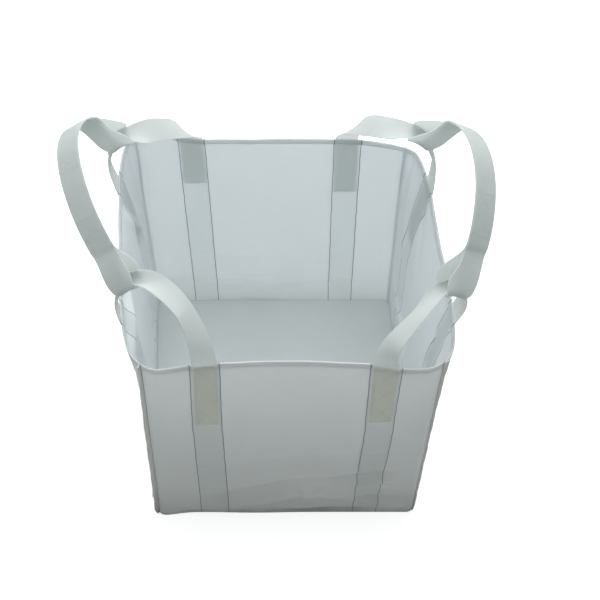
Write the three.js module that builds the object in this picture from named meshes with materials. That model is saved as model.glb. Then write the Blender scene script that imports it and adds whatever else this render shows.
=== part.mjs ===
// Bulk bag (flexible intermediate bulk container) in millimetres, +Z up.
// Origin: the centre of the base's underside. +X is to the right and +Y to the back of the bag.
//
// The body is four woven panels and a base. Each of the four lifting loops crosses a corner, with one leg
// sewn to each of the two panels that meet there. A carrying strap joins the front and back loop of each
// side: two plies of webbing sewn together, which part into an eye at each end.

import * as THREE from 'three';

// Driving dimensions.
const bagWidth = 900;
const bagHeight = 985;
const clothThickness = 2.4;
const webbingWidth = 75;
const webbingThickness = 3;
const plyThickness = 2.4;
const contactGap = 0.4;

// How the filled-out square of the base changes towards the mouth.
const backLeanIn = 32;
const sideFlare = 50;
const flareDepth = 450;
const frontMiddleIn = 10;
const frontCornerOut = 12;
const baseCornerRadius = 30;
const baseEase = 1.4;
const mouthCornerRadius = 65;
const bagSkew = 0.09;
const lowerSlump = 28;

// Sewing.
const seamFin = 16;
const hemDepth = 24;
const hemEase = 1.5;
const legCentre = 255;
const frontRightLegShift = 17;
const legRise = 4;
const stitchThickness = 0.8;
const sewingGap = 1.2;

// Loops and straps.
const loopFootRise = 56;
const loopCupRadius = 20;
const loopCupSpread = 0.17;
const eyeClearance = 7;
const eyeLength = 150;
const eyeTurnLow = 10;
const eyeTurnHigh = 105;
const splitGap = 20;
const backRise = 0.16;
const strapStitchLength = 60;

const half = bagWidth / 2;
const mouthMiddleY = -backLeanIn / 2;

const colours = {
  cloth: { color: 0xc3cdcf, roughness: 0.75 },
  webbing: { color: 0xd2dcdb, roughness: 0.7 },
  legWebbing: { color: 0x98a29d, roughness: 0.75 },
  thread: { color: 0xdfe5e5, roughness: 0.8 },
};

const bag = new THREE.Group();

function addMesh(name, geometry, finish) {
  const material = new THREE.MeshStandardMaterial({ ...colours[finish], metalness: 0 });
  const mesh = new THREE.Mesh(geometry, material);
  mesh.name = name;
  bag.add(mesh);
}

// ---------------------------------------------------------------- shared shape of the bag

function skewed(point) {
  point.x -= bagSkew * (point.y - mouthMiddleY);
  return point;
}

// How far a height is on its way from the straight lower wall (0) to the mouth (1).
function flareAt(z) {
  const rise = Math.max(0, z - (bagHeight - flareDepth)) / flareDepth;
  return rise * rise;
}

// Takes a point of the upright square prism to its place on the real bag.
function onBag(x, y, z) {
  const flare = flareAt(z);
  const across = x / half;
  const along = y / half;
  const sideways = (sideFlare * flare * (1 - Math.min(1, Math.abs(along)) ** 6)) / half;
  const frontness = Math.max(0, -along) ** 8;
  const lean = backLeanIn * (z / bagHeight) * (along + 1) * 0.5;
  const frontWave = flare * frontness * ((frontMiddleIn + frontCornerOut) * across * across - frontMiddleIn);
  const slump = lowerSlump * (1 - z / bagHeight) * across * across * (1 - along) * 0.5;
  return new THREE.Vector3(x * (1 + sideways) - slump, y - lean - frontWave, z);
}

// A point on the outline of the bag, `along` millimetres from the middle of a side and `out` from its face.
// Sides run counter-clockwise from above: 0 front, 1 right, 2 back, 3 left.
function wallPoint(side, along, out, z) {
  const radius = baseCornerRadius + (mouthCornerRadius - baseCornerRadius) * flareAt(z);
  const straight = half - radius;
  const turn = Math.max(0, Math.abs(along) - straight) / radius;
  const reach = radius + out;
  const local = new THREE.Vector2(
    Math.sign(along) * (Math.min(Math.abs(along), straight) + reach * Math.sin(turn)),
    -straight - reach * Math.cos(turn),
  );
  local.rotateAround(new THREE.Vector2(), (side * Math.PI) / 2);
  return onBag(local.x, local.y, z);
}

// Half the length of cloth from the middle of a side to the seam in the corner.
function seamDistance(z) {
  const radius = baseCornerRadius + (mouthCornerRadius - baseCornerRadius) * flareAt(z);
  return half - radius + (radius * Math.PI) / 4;
}

// Bends a geometry: `place` takes each of its corners to the final point.
function bent(geometry, place) {
  const position = geometry.getAttribute('position');
  for (let i = 0; i < position.count; i += 1) {
    const point = place(position.getX(i), position.getY(i), position.getZ(i));
    position.setXYZ(i, point.x, point.y, point.z);
  }
  geometry.computeVertexNormals();
  return geometry;
}

// Bends a finely divided box whose corners run from -0.5 to 0.5 each way.
function bentBox(segments, place) {
  return bent(new THREE.BoxGeometry(1, 1, 1, ...segments), place);
}

// ---------------------------------------------------------------- cloth

const sideNames = ['front', 'right', 'back', 'left'];
const cornerNames = ['front_right', 'back_right', 'back_left', 'front_left'];
const panelColumns = 14;
const panelRows = 12;

// Columns crowd towards the corners and rows towards the mouth, where the cloth curves most. The top row
// is as high as the hem.
const rowCrowding = Math.log(hemDepth / (bagHeight - contactGap)) / Math.log(1 / panelRows);

function columnAt(u, z) {
  const share = 2 * u;
  return (seamDistance(z) - contactGap) * (1.5 * share - 0.5 * share ** 3);
}

function rowAt(v) {
  return contactGap + (bagHeight - contactGap) * (1 - (0.5 - v) ** rowCrowding);
}

function panel(side) {
  return bentBox([panelColumns, panelRows, 1], (u, v, w) => {
    const z = rowAt(v);
    return skewed(wallPoint(side, columnAt(u, z), (w - 0.5) * clothThickness, z));
  });
}

function base() {
  const inset = half - clothThickness - baseEase;
  const centre = inset - baseCornerRadius - 12;
  const radius = inset - centre;
  const outline = new THREE.Shape();
  for (let corner = 0; corner < 4; corner += 1) {
    const start = (corner * Math.PI) / 2;
    const x = corner === 0 || corner === 3 ? centre : -centre;
    const y = corner < 2 ? centre : -centre;
    outline.absarc(x, y, radius, start, start + Math.PI / 2);
  }
  const solid = new THREE.ExtrudeGeometry(outline, {
    depth: clothThickness,
    bevelEnabled: false,
    curveSegments: 4,
  });
  return bent(solid, (x, y, z) => skewed(onBag(x, y, z)));
}

// The fold of cloth turned in along the mouth, one length to each panel.
function hem(side) {
  return bentBox([panelColumns, 1, 1], (u, v, w) => {
    const z = bagHeight - hemDepth * (0.5 - v);
    const out = -hemEase - clothThickness * (1.5 - w);
    return skewed(wallPoint(side, columnAt(u, z), out, z));
  });
}

// The two panels' edges, turned out together in the corner and sewn.
function cornerSeam(side) {
  return bentBox([1, panelRows, 1], (u, v, w) => {
    const z = rowAt(v);
    const along = seamDistance(z) - 2 * w * clothThickness;
    const out = contactGap + seamFin * (u + 0.5);
    return skewed(wallPoint(side, along, out, z));
  });
}

// The lower edge of a side panel, sewn to the base and turned out on the floor.
function baseSeam(side) {
  return bentBox([8, 1, 1], (u, v, w) => {
    const along = 2 * u * (half - 2 * baseCornerRadius);
    const out = contactGap + seamFin * (w + 0.5);
    const z = contactGap + 2 * clothThickness * (v + 0.5);
    return skewed(wallPoint(side, along, out, z));
  });
}

for (let side = 0; side < 4; side += 1) {
  addMesh(`${sideNames[side]}_panel`, panel(side), 'cloth');
  addMesh(`${sideNames[side]}_mouth_hem`, hem(side), 'cloth');
  addMesh(`${cornerNames[side]}_corner_seam`, cornerSeam(side), 'cloth');
}
addMesh('base_panel', base(), 'cloth');
addMesh('right_base_seam', baseSeam(1), 'cloth');
addMesh('left_base_seam', baseSeam(3), 'cloth');

// ---------------------------------------------------------------- loop legs and their sewing

function leg(side, along, length) {
  return bentBox([2, 12, 1], (u, v, w) => {
    const z = bagHeight + legRise - (length + legRise) * (0.5 - v);
    const out = sewingGap + webbingThickness * (w + 0.5);
    return skewed(wallPoint(side, along + u * webbingWidth, out, Math.min(z, bagHeight)).setZ(z));
  });
}

// A run of thread round a rectangle and across it at even steps, lying flat with its top edge at y = 0.
function stitching(wide, long, rungs) {
  const thread = 4;
  const outline = new THREE.Shape();
  const steps = rungs * 2;
  outline.moveTo(-wide / 2, -long);
  outline.lineTo(0, -long);
  for (let i = 0; i <= steps; i += 1) {
    outline.lineTo(wide / 2, -long * (1 - i / steps));
  }
  outline.lineTo(0, 0);
  for (let i = 0; i < steps; i += 1) {
    outline.lineTo(-wide / 2, (-long * i) / steps);
  }
  for (let i = 0; i < rungs; i += 1) {
    const top = (-long * i) / rungs - (i === 0 ? thread : thread / 2);
    const bottom = (-long * (i + 1)) / rungs + (i === rungs - 1 ? thread : thread / 2);
    const middle = (-long * (i + 0.5)) / rungs;
    const edge = wide / 2 - thread;
    const gap = new THREE.Path();
    gap.moveTo(-edge, bottom);
    gap.lineTo(-edge, middle);
    gap.lineTo(-edge, top);
    gap.lineTo(0, top);
    gap.lineTo(edge, top);
    gap.lineTo(edge, middle);
    gap.lineTo(edge, bottom);
    gap.lineTo(0, bottom);
    outline.holes.push(gap);
  }
  return new THREE.ExtrudeGeometry(outline, { depth: stitchThickness, bevelEnabled: false });
}

function legStitching(side, along, length) {
  const flat = stitching(webbingWidth - 14, length - 20, Math.round(length / 70));
  return bent(flat, (x, y, z) => {
    const out = 2 * sewingGap + webbingThickness + z;
    return skewed(wallPoint(side, along + x, out, bagHeight - 10 + y));
  });
}

// Each loop: its two legs' panels and lengths, which way round it goes and how it is mirrored from the front
// left one. Then how far each has slumped from its tall shape (0) to its low one (1), and how far along each
// the strap's eye hangs.
const loops = [
  { name: 'front_left', endSide: 0, flankSide: 3, endLeg: 355, flankLeg: 340, hand: 1, mirror: [1, 1] },
  { name: 'front_right', endSide: 0, flankSide: 1, endLeg: 335, flankLeg: 340, hand: -1, mirror: [-1, 1] },
  { name: 'back_right', endSide: 2, flankSide: 1, endLeg: 285, flankLeg: 300, hand: 1, mirror: [-1, -1] },
  { name: 'back_left', endSide: 2, flankSide: 3, endLeg: 235, flankLeg: 300, hand: -1, mirror: [1, -1] },
];
const slumps = [0, 1, 0.4, 1];
const eyePlaces = [0.67, 0.67, 0.66, 0.66];

for (const { name, endSide, flankSide, hand, endLeg, flankLeg } of loops) {
  const endCentre = -hand * (legCentre + (name === 'front_right' ? frontRightLegShift : 0));
  addMesh(`${name}_loop_end_leg`, leg(endSide, endCentre, endLeg), 'legWebbing');
  addMesh(`${name}_loop_side_leg`, leg(flankSide, hand * legCentre, flankLeg), 'legWebbing');
  addMesh(`${name}_end_leg_stitching`, legStitching(endSide, endCentre, endLeg), 'thread');
  addMesh(`${name}_side_leg_stitching`, legStitching(flankSide, hand * legCentre, flankLeg), 'thread');
}

// ---------------------------------------------------------------- loop arches

// The routes of a tall and of a slumped front left loop above the mouth, from end leg to side leg, and the
// way the webbing's width points along each.
const tallRoute = [
  [-256, -450, bagHeight + loopFootRise],
  [-264, -425, 1085],
  [-290, -380, 1140],
  [-335, -335, 1178],
  [-385, -305, 1192],
  [-432, -292, 1180],
  [-472, -286, 1142],
  [-494, -278, 1090],
  [-502, -270, bagHeight + loopFootRise],
];
const tallWays = [
  [1, 0.1, 0],
  [0.72, 0.65, -0.2],
  [0.5, 0.84, -0.25],
  [0.42, 0.9, -0.15],
  [0.3, 0.95, -0.1],
  [0.1, 0.99, -0.05],
  [0, 1, 0],
  [0, 1, 0],
  [0, 1, 0],
];
const slumpedRoute = [
  [-264, -442, bagHeight + loopFootRise],
  [-298, -420, 1068],
  [-342, -388, 1102],
  [-380, -358, 1128],
  [-420, -325, 1146],
  [-460, -302, 1150],
  [-494, -288, 1128],
  [-512, -278, 1085],
  [-514, -270, bagHeight + loopFootRise],
];
const slumpedWays = [
  [0.8, 0.5, -0.35],
  [0.5, 0.75, -0.42],
  [0.2, 0.88, -0.42],
  [0, 0.93, -0.38],
  [-0.05, 0.95, -0.3],
  [-0.05, 0.98, -0.2],
  [0, 1, -0.1],
  [0, 1, 0],
  [0, 1, 0],
];

// A curve through points that lie a share of the way from one list to the other.
function curveBetween(first, second, share) {
  const points = first.map((entry, i) => {
    return new THREE.Vector3(...entry).lerp(new THREE.Vector3(...second[i]), share);
  });
  return new THREE.CatmullRomCurve3(points, false, 'centripetal');
}

for (const [i, loop] of loops.entries()) {
  loop.route = curveBetween(tallRoute, slumpedRoute, slumps[i]);
  loop.ways = curveBetween(tallWays, slumpedWays, slumps[i]);
  loop.eyeAt = eyePlaces[i];
}

// The centre, tangent, width direction and outward normal of a loop at a share of its length.
function loopFrame(loop, share) {
  const [mirrorX, mirrorY] = loop.mirror;
  const mirrored = (point) => {
    const y = mouthMiddleY + (point.y - mouthMiddleY) * mirrorY;
    return skewed(new THREE.Vector3(point.x * mirrorX, y, point.z));
  };
  const step = 0.002;
  const point = loop.route.getPoint(share);
  const middle = mirrored(point);
  const before = mirrored(loop.route.getPoint(Math.max(0, share - step)));
  const after = mirrored(loop.route.getPoint(Math.min(1, share + step)));
  const tangent = after.sub(before).normalize();
  const way = mirrored(point.add(loop.ways.getPoint(share))).sub(middle);
  const normal = new THREE.Vector3().crossVectors(way, tangent).normalize();
  normal.multiplyScalar(mirrorX * mirrorY);
  const across = new THREE.Vector3().crossVectors(normal, tangent);
  return { middle, tangent, across, normal };
}

// The webbing cups where the strap's eye holds it: `v` is the share of its width, `lift` the distance
// out from its middle surface.
function onLoop(loop, share, v, lift) {
  const { middle, across, normal } = loopFrame(loop, share);
  const nearness = Math.exp(-(((share - loop.eyeAt) / loopCupSpread) ** 2));
  const bend = nearness / loopCupRadius + 1e-6;
  const angle = v * webbingWidth * bend;
  const radius = 1 / bend - lift;
  middle.addScaledVector(across, radius * Math.sin(angle));
  middle.addScaledVector(normal, 1 / bend - radius * Math.cos(angle));
  return middle;
}

for (const loop of loops) {
  const arch = bentBox([24, 4, 1], (u, v, w) => onLoop(loop, u + 0.5, v, w * webbingThickness));
  addMesh(`${loop.name}_loop_arch`, arch, 'webbing');
}

// ---------------------------------------------------------------- carrying straps

// Each strap stands in a plane through the eyes of its two loops that leans out from upright.
const straps = [
  { name: 'left', front: loops[0], back: loops[3], outward: -1, lean: 31, height: 264 },
  { name: 'right', front: loops[1], back: loops[2], outward: 1, lean: 34, height: 229 },
];

// The plane of a strap: its middle between the eyes, `run` from front to back, `up` in the plane.
function strapPlane(strap) {
  const front = loopFrame(strap.front, strap.front.eyeAt).middle;
  const back = loopFrame(strap.back, strap.back.eyeAt).middle;
  const run = new THREE.Vector3().subVectors(back, front);
  const reach = run.length() / 2;
  run.normalize();
  const angle = THREE.MathUtils.degToRad(strap.lean);
  const up = new THREE.Vector3(strap.outward * Math.sin(angle), 0, Math.cos(angle));
  up.addScaledVector(run, -up.dot(run)).normalize();
  const across = new THREE.Vector3().crossVectors(run, up);
  const middle = new THREE.Vector3().addVectors(front, back).multiplyScalar(0.5);
  return { middle, run, up, across, reach };
}

// From flat coordinates in the strap's plane, and a distance across it, to space.
function fromPlane(plane, point, across) {
  return plane.middle.clone()
    .addScaledVector(plane.run, point.x)
    .addScaledVector(plane.up, point.y)
    .addScaledVector(plane.across, across);
}

// A point at a share of a flat route, moved off it to its left.
function besideRoute(route, share, offset) {
  const point = route.getPoint(share);
  const tangent = route.getTangent(share);
  return point.add(new THREE.Vector2(-tangent.y, tangent.x).multiplyScalar(offset));
}

function planeRibbon(plane, route, thickness, offset, steps) {
  return bentBox([steps, 1, 1], (u, v, w) => {
    const point = besideRoute(route, u + 0.5, offset - w * thickness);
    return fromPlane(plane, point, v * webbingWidth);
  });
}

// The arch that both plies follow, as an angle about the middle of the strap. It is higher towards the back.
function archPoint(strap, reach, angle) {
  const rise = strap.height * (1 - backRise * Math.cos(angle));
  return new THREE.Vector2(-reach * Math.cos(angle), rise * Math.sin(angle));
}

// The eye: down one side of the loop's webbing, round under it and up the other side.
function eyeRoute(split, cupCentre) {
  const radius = loopCupRadius + webbingThickness / 2 + eyeClearance + plyThickness / 2;
  const down = new THREE.Vector2().subVectors(cupCentre, split);
  const length = down.length();
  down.normalize();
  const side = new THREE.Vector2(down.y, -down.x);
  const plySpread = plyThickness / 2 + contactGap / 2;
  const halfRoute = [
    [0, plySpread],
    [0.3 * length, 0.35 * radius],
    [0.65 * length, 0.82 * radius],
    [length, radius],
    [length + radius * Math.SQRT1_2, radius * Math.SQRT1_2],
  ];
  const place = (along, aside) => split.clone().addScaledVector(down, along).addScaledVector(side, aside);
  const points = halfRoute.map(([along, aside]) => place(along, aside));
  points.push(place(length + radius, 0));
  for (const [along, aside] of halfRoute.reverse()) {
    points.push(place(along, -aside));
  }
  return new THREE.SplineCurve(points);
}

// The angle at which a strap's plies part into the eye, and where their own length starts.
function splitAngles(strap, reach) {
  const eyeTop = Math.asin(eyeLength / strap.height);
  return { eyeTop, plyEnd: eyeTop + (2 * splitGap) / (strap.height + reach) };
}

function archRoute(strap, reach) {
  const { plyEnd } = splitAngles(strap, reach);
  const steps = 16;
  const points = [];
  for (let i = 0; i <= steps; i += 1) {
    points.push(archPoint(strap, reach, plyEnd + ((Math.PI - 2 * plyEnd) * i) / steps));
  }
  return new THREE.SplineCurve(points);
}

// A box of thread through both plies next to an eye, lying on the outer one.
function strapStitching(plane, route, end) {
  const flat = stitching(webbingWidth - 14, strapStitchLength, 3);
  const length = route.getLength();
  return bent(flat, (x, y, z) => {
    const along = 10 - y;
    const share = end === 'front' ? along / length : 1 - along / length;
    const offset = plyThickness + contactGap / 2 + sewingGap + z;
    return fromPlane(plane, besideRoute(route, route.getUtoTmapping(share), offset), end === 'front' ? -x : x);
  });
}

// The eye lies in the strap's plane at the top and turns with the loop's webbing where it holds it.
function eye(strap, plane, end) {
  const loop = strap[end];
  const way = end === 'front' ? -1 : 1;
  const { eyeTop } = splitAngles(strap, plane.reach);
  const split = archPoint(strap, plane.reach, end === 'front' ? eyeTop : Math.PI - eyeTop);
  const cup = new THREE.Vector2(way * plane.reach, loopCupRadius);
  const route = eyeRoute(split, cup);
  const loopLength = loop.route.getLength();
  const middle = loopFrame(loop, loop.eyeAt);
  const widthWay = Math.sign(middle.tangent.dot(plane.across));
  const runWay = Math.sign(middle.across.dot(plane.run));
  return bentBox([28, 2, 1], (u, v, w) => {
    const point = besideRoute(route, u + 0.5, -w * plyThickness);
    const across = v * webbingWidth;
    const flat = fromPlane(plane, point, across);
    const frame = loopFrame(loop, loop.eyeAt + (widthWay * across) / loopLength);
    const held = frame.middle
      .addScaledVector(frame.normal, point.y)
      .addScaledVector(frame.across, runWay * (point.x - cup.x));
    const share = THREE.MathUtils.smoothstep(point.y, eyeTurnLow, eyeTurnHigh);
    return held.lerp(flat, share);
  });
}

for (const strap of straps) {
  const plane = strapPlane(strap);
  const arch = archRoute(strap, plane.reach);
  const plyOffset = (plyThickness + contactGap) / 2;
  for (const [ply, offset] of [['outer', plyOffset], ['inner', -plyOffset]]) {
    addMesh(`${strap.name}_strap_${ply}_ply`, planeRibbon(plane, arch, plyThickness, offset, 20), 'webbing');
  }
  for (const end of ['front', 'back']) {
    addMesh(`${strap.name}_strap_${end}_eye`, eye(strap, plane, end), 'webbing');
    addMesh(`${strap.name}_strap_${end}_stitching`, strapStitching(plane, arch, end), 'thread');
  }
}

export default bag;
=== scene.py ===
"""Bulk bag with lifting loops and carrying straps, in metres, built around its CAD frame.

The body is four woven panels and a base, sewn together with the edges turned out at the corners.
Each lifting loop is one length of webbing from leg to leg across a corner. Each carrying strap is two
slings of webbing that meet in a sewn lap at the top: a sling goes down, round a loop and up again.
"""
import math

import bpy
import numpy as np
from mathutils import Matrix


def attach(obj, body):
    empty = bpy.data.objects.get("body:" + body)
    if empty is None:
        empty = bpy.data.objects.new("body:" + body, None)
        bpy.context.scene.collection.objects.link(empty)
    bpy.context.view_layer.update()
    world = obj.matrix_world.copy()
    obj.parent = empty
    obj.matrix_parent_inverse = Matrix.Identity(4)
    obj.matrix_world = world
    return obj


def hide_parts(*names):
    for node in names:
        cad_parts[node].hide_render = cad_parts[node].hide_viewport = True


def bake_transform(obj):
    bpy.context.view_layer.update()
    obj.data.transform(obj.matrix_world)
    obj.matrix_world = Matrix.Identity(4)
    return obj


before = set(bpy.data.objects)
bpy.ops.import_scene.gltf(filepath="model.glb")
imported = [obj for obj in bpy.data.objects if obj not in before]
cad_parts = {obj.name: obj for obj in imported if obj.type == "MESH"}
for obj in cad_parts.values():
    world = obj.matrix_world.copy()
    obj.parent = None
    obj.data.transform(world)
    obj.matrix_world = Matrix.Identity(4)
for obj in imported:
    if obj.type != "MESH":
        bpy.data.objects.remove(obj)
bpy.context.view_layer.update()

# ------------------------------------------------------------------ camera, light and floor

# The world's brightness changes from the ground's glow to the sky's between these two heights of view.
GLOW_HEIGHTS = (-0.30, 0.10)
CAMERA_PLACE = (0.0616, -2.484, 4.310)
CAMERA_DOWN = math.radians(55.75)
CAMERA_LENS = 80.44
SENSOR_WIDTH = 36.0
SKY_GLOW = 0.50
GROUND_GLOW = 0.06
LIGHTS_AIM = (0.0, 0.0, 0.4)
FLOOR_REACH = 14.0
FLOOR_COLOUR = (0.93, 0.93, 0.93, 1)
FLOOR_GLOW = 0.62


def make_camera():
    data = bpy.data.cameras.new("camera")
    data.sensor_width = SENSOR_WIDTH
    data.lens = CAMERA_LENS
    camera = bpy.data.objects.new("camera", data)
    camera.location = CAMERA_PLACE
    camera.rotation_euler = (math.pi / 2 - CAMERA_DOWN, 0, 0)
    bpy.context.scene.collection.objects.link(camera)
    bpy.context.scene.camera = camera


def make_light(name, place, size, power):
    data = bpy.data.lights.new(name, "AREA")
    data.shape = "DISK"
    data.size = size
    data.energy = power
    light = bpy.data.objects.new(name, data)
    light.location = place
    aim = np.array(LIGHTS_AIM) - np.array(place)
    across = math.hypot(aim[0], aim[1])
    light.rotation_euler = (math.atan2(across, -aim[2]), 0, math.atan2(-aim[0], aim[1]))
    bpy.context.scene.collection.objects.link(light)


def make_world():
    world = bpy.data.worlds.new("studio")
    world.use_nodes = True
    nodes, links = world.node_tree.nodes, world.node_tree.links
    split = nodes.new("ShaderNodeSeparateXYZ")
    links.new(nodes.new("ShaderNodeTexCoord").outputs["Generated"], split.inputs[0])
    rise = nodes.new("ShaderNodeMapRange")
    rise.interpolation_type = "SMOOTHSTEP"
    rise.inputs["From Min"].default_value = GLOW_HEIGHTS[0]
    rise.inputs["From Max"].default_value = GLOW_HEIGHTS[1]
    rise.inputs["To Min"].default_value = GROUND_GLOW
    rise.inputs["To Max"].default_value = SKY_GLOW
    links.new(split.outputs[2], rise.inputs["Value"])
    background = nodes["Background"]
    background.inputs["Color"].default_value = (0.98, 0.99, 1.0, 1.0)
    links.new(rise.outputs[0], background.inputs["Strength"])
    bpy.context.scene.world = world


def make_floor():
    mesh = bpy.data.meshes.new("floor")
    corners = [(x * FLOOR_REACH, y * FLOOR_REACH, 0) for x, y in ((-1, -1), (1, -1), (1, 1), (-1, 1))]
    mesh.from_pydata(corners, [], [(0, 1, 2, 3)])
    floor = bpy.data.objects.new("floor", mesh)
    bpy.context.scene.collection.objects.link(floor)
    material = bpy.data.materials.new("floor")
    material.use_nodes = True
    principled = material.node_tree.nodes["Principled BSDF"]
    principled.inputs["Base Color"].default_value = FLOOR_COLOUR
    principled.inputs["Roughness"].default_value = 0.9
    principled.inputs["Specular IOR Level"].default_value = 0.1
    principled.inputs["Emission Color"].default_value = (1, 1, 1, 1)
    principled.inputs["Emission Strength"].default_value = FLOOR_GLOW
    mesh.materials.append(material)
    floor.visible_diffuse = False


bpy.context.scene.view_settings.view_transform = "Standard"
make_camera()
make_world()
make_floor()
make_light("overhead", (0.1, 1.2, 4.4), 3.0, 96)
make_light("back", (0.2, 4.2, 2.6), 3.0, 130)

# ------------------------------------------------------------------ the bag's driving dimensions

HALF = 0.45
HEIGHT = 0.985
BACK_LEAN_IN = 0.032
SIDE_FLARE = 0.050
FLARE_DEPTH = 0.450
FRONT_MIDDLE_IN = 0.010
FRONT_CORNER_OUT = 0.012
BASE_CORNER_RADIUS = 0.030
MOUTH_CORNER_RADIUS = 0.065
SKEW = 0.09
SLUMP = 0.028
MOUTH_MIDDLE_Y = -BACK_LEAN_IN / 2
FRONT_PULL = 0.022
FRONT_SLACK = 0.009

CLOTH = 0.0016
HEM_DEPTH = 0.024
HEM_ROLL = 0.0020
WEBBING = 0.075
WEBBING_THICKNESS = 0.003
PLY_THICKNESS = 0.0024
PLY_GAP = 0.0004
LEG_CENTRE = 0.255
LEG_GAP = 0.0012
MARKER_LINES = (0.212, 0.300)

FRONT, RIGHT, BACK, LEFT = range(4)
SIDES = ("front", "right", "back", "left")
CORNERS = ("front_right", "back_right", "back_left", "front_left")


def smoothstep(x, low, high):
    t = np.clip((np.asarray(x, float) - low) / (high - low), 0, 1)
    return t * t * (3 - 2 * t)


def normalised(v):
    return v / np.maximum(np.linalg.norm(v, axis=-1, keepdims=True), 1e-12)


# ------------------------------------------------------------------ the shared shape of the bag


def flare_at(z):
    return (np.maximum(0, z - (HEIGHT - FLARE_DEPTH)) / FLARE_DEPTH) ** 2


def skewed(points):
    points = np.array(points, float)
    points[..., 0] -= SKEW * (points[..., 1] - MOUTH_MIDDLE_Y)
    return points


# Places of the mouth that hang lower (drop) or further forward: (x, y, half width, drop, forward).
MOUTH_SAGS = (
    (0.37, -0.46, 0.080, 0.010, 0.008),
    (-0.37, -0.46, 0.080, 0.008, 0.006),
    (0.03, -0.45, 0.160, -0.004, 0.000),
    (-0.44, 0.42, 0.085, -0.022, -0.030),
    (0.38, 0.42, 0.080, 0.012, 0.010),
)
# Places at the floor that bulge forward: (x, y, half width, forward).
FLOOR_BULGES = (
    (-0.42, -0.46, 0.070, 0.012),
    (-0.10, -0.46, 0.120, 0.003),
)


def settled(points):
    """The mouth's edge and the corners on the floor lie a little unevenly."""
    x, y, z = points[..., 0].copy(), points[..., 1].copy(), points[..., 2].copy()
    near_mouth = smoothstep(z, HEIGHT - 0.30, HEIGHT)
    near_floor = 1 - smoothstep(z, 0.0, 0.10)
    for place_x, place_y, width, drop, forward in MOUTH_SAGS:
        near = near_mouth * np.exp(-((x - place_x) ** 2 + (y - place_y) ** 2) / width**2)
        points[..., 1] -= forward * near
        points[..., 2] -= drop * near
    for place_x, place_y, width, forward in FLOOR_BULGES:
        near = near_floor * np.exp(-((x - place_x) ** 2 + (y - place_y) ** 2) / width**2)
        points[..., 1] -= forward * near
    return points


def on_bag(x, y, z):
    """Takes a point of the upright square prism to its place on the real bag."""
    flare = flare_at(z)
    across = x / HALF
    along = y / HALF
    sideways = SIDE_FLARE * flare * (1 - np.minimum(1, np.abs(along)) ** 6) / HALF
    frontness = np.maximum(0, -along) ** 8
    lean = BACK_LEAN_IN * (z / HEIGHT) * (along + 1) / 2
    wave = flare * frontness * ((FRONT_MIDDLE_IN + FRONT_CORNER_OUT) * across**2 - FRONT_MIDDLE_IN)
    slump = SLUMP * (1 - z / HEIGHT) * across**2 * (1 - along) / 2
    placed = np.stack([x * (1 + sideways) - slump, y - lean - wave, z + 0 * x], axis=-1)
    return settled(skewed(placed))


def corner_radius(z):
    return BASE_CORNER_RADIUS + (MOUTH_CORNER_RADIUS - BASE_CORNER_RADIUS) * flare_at(z)


def seam_distance(z):
    """Half the length of cloth from the middle of a side to the seam in the corner."""
    radius = corner_radius(z)
    return HALF - radius + radius * math.pi / 4


# Soft folds pressed into the cloth: (side, start, end, half width, height), each end being the distance
# along the side and the height, and positive heights standing out. The side of a fold that faces down
# is the steeper one.
FOLDS = (
    (FRONT, (-0.30, 0.045), (0.06, 0.180), 0.026, 0.030),
    (FRONT, (0.04, 0.180), (0.38, 0.070), 0.024, 0.028),
    (FRONT, (-0.24, 0.120), (0.04, 0.255), 0.034, -0.018),
    (FRONT, (-0.27, 0.012), (0.41, 0.028), 0.021, -0.036),
    (FRONT, (-0.12, 0.065), (0.16, 0.075), 0.022, 0.017),
    (FRONT, (0.14, 0.225), (0.36, 0.262), 0.022, 0.017),
    (FRONT, (0.24, 0.262), (0.37, 0.215), 0.020, 0.010),
    (FRONT, (0.08, 0.245), (0.34, 0.310), 0.022, -0.014),
    (FRONT, (0.14, 0.140), (0.36, 0.120), 0.020, -0.017),
    (FRONT, (0.25, 0.060), (0.41, 0.045), 0.020, 0.012),
    (FRONT, (-0.42, 0.050), (-0.30, 0.090), 0.028, 0.015),
    (FRONT, (-0.22, 0.360), (0.22, 0.420), 0.080, -0.012),
    (RIGHT, (-0.38, 0.060), (-0.10, 0.160), 0.026, 0.017),
    (RIGHT, (-0.10, 0.160), (0.20, 0.090), 0.026, 0.015),
    (RIGHT, (0.05, 0.300), (0.35, 0.240), 0.032, -0.013),
    (RIGHT, (-0.30, 0.620), (-0.16, 0.860), 0.022, 0.010),
    (RIGHT, (-0.40, 0.700), (-0.30, 0.930), 0.018, -0.008),
    (RIGHT, (0.10, 0.700), (0.24, 0.930), 0.025, 0.010),
    (RIGHT, (0.30, 0.560), (0.38, 0.900), 0.030, -0.014),
    (BACK, (-0.35, 0.120), (0.05, 0.070), 0.028, 0.013),
    (BACK, (0.00, 0.160), (0.36, 0.110), 0.028, 0.013),
    (BACK, (-0.10, 0.300), (0.30, 0.340), 0.050, -0.009),
    (LEFT, (-0.36, 0.090), (0.02, 0.150), 0.028, 0.012),
    (LEFT, (0.10, 0.140), (0.38, 0.080), 0.028, 0.013),
    (LEFT, (0.16, 0.895), (0.36, 0.900), 0.055, -0.026),
    (LEFT, (-0.34, 0.600), (-0.18, 0.900), 0.028, -0.010),
    (LEFT, (-0.10, 0.560), (0.02, 0.900), 0.040, 0.010),
)


UNDERSIDE = 0.55


def distance_to(along, z, start, end):
    """The distance of a side's points from a line, how far along it they lie, and which lie above."""
    run = np.array(end) - np.array(start)
    share = ((along - start[0]) * run[0] + (z - start[1]) * run[1]) / (run @ run)
    held = np.clip(share, 0, 1)
    away = np.hypot(along - start[0] - held * run[0], z - start[1] - held * run[1])
    above = run[0] * (z - start[1]) > run[1] * (along - start[0])
    return away, held, above


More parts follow.
